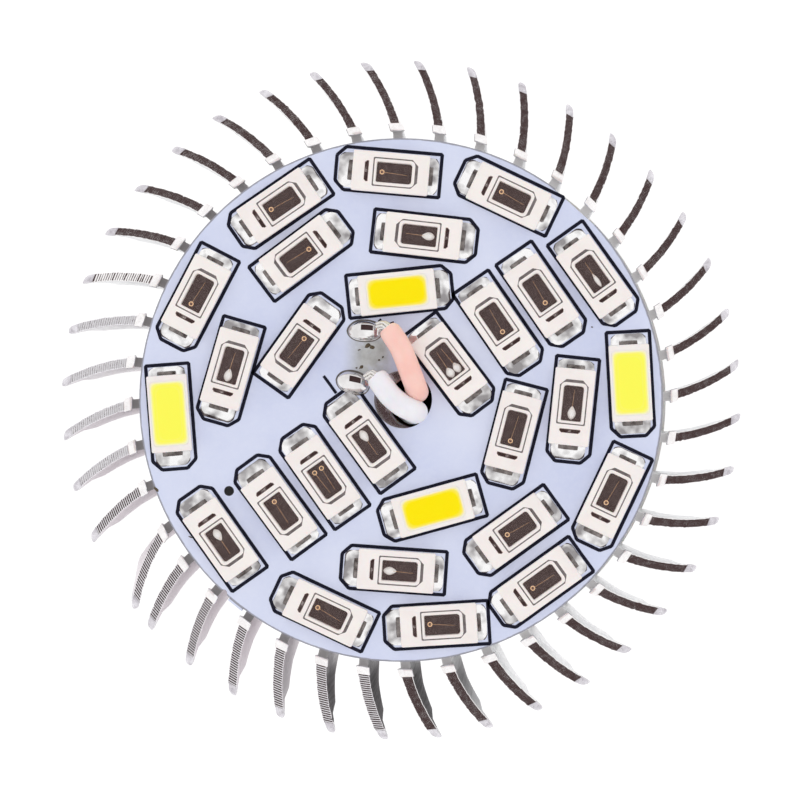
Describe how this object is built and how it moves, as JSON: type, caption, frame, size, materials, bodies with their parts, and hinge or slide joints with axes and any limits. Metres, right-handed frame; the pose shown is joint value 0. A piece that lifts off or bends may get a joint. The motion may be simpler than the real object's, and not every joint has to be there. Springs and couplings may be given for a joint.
{
  "type": "grow light bulb",
  "caption": "Screw-cap LED grow bulb: bare round board of mixed-colour LEDs on a finned aluminium heat sink, with a white plastic driver neck and an E27 cap.",
  "frame": {"origin": "centre of the centre contact's flat tip, on the bulb's axis", "axes": "+Z along the bulb's axis from the screw cap towards the LED face; +Y is up in the picture, +X to its right"},
  "size_m": [0.0504, 0.0504, 0.0826],
  "materials": {
    "sink_aluminium": "extruded, front face turned",
    "thermal_paste": "soft paste",
    "white_solder_mask": "satin white solder mask",
    "led_moulding": "satin white moulding",
    "plated_lead_frame": "silver plated, mirror",
    "red_die": "polished semiconductor with gold pad",
    "blue_die": "clear sapphire with white glue",
    "uv_die": "clear sapphire with white glue",
    "ir_die": "polished semiconductor with gold pad",
    "clear_silicone": "clear silicone",
    "warm_phosphor": "phosphor in silicone",
    "cool_phosphor": "phosphor in silicone",
    "solder": "bright solder",
    "tinned_copper": "tinned strands",
    "pink_insulation": "satin silicone rubber",
    "white_insulation": "satin silicone rubber",
    "steel_screw": "zinc plated",
    "white_housing": "satin moulded plastic",
    "driver_laminate": "phenolic laminate",
    "capacitor_sleeve": "shrink sleeve",
    "ferrite": "sintered",
    "copper_winding": "enamelled copper",
    "resistor_coat": "lacquered",
    "chip_black": "moulded epoxy",
    "ceramic_chip": "sintered",
    "red_insulation": "wire insulation",
    "blue_insulation": "wire insulation",
    "cap_metal": "nickel plated, rolled",
    "cap_insulator": "moulded thermoset",
    "contact_metal": "plated"
  },
  "bodies": {
    "root": {"heat_sink": "sink_aluminium", "thermal_paste": "thermal_paste", "led_board": "white_solder_mask", "led_housings": "led_moulding", "white_led_housings": "led_moulding", "led_lead_frames": "plated_lead_frame", "red_dies": "red_die", "blue_dies": "blue_die", "uv_dies": "uv_die", "ir_dies": "ir_die", "clear_fills": "clear_silicone", "warm_phosphor": "warm_phosphor", "cool_phosphor": "cool_phosphor", "led_solder_joints": "solder", "wire_solder_joints": "solder", "pink_conductor": "tinned_copper", "white_conductor": "tinned_copper", "pink_wire": "pink_insulation", "white_wire": "white_insulation", "fixing_screws": "steel_screw", "driver_cover": "white_housing", "driver_housing": "white_housing", "driver_board": "driver_laminate", "input_capacitor": "capacitor_sleeve", "output_capacitor": "capacitor_sleeve", "inductor_core": "ferrite", "inductor_winding": "copper_winding", "fuse_resistor": "resistor_coat", "bridge_rectifier": "chip_black", "driver_chip": "chip_black", "small_components": "ceramic_chip", "driver_solder_joints": "solder", "live_wire": "red_insulation", "neutral_wire": "blue_insulation", "input_conductors": "tinned_copper", "cap_shell": "cap_metal", "cap_insulator": "cap_insulator", "centre_contact": "contact_metal"}
  },
  "joints": []
}
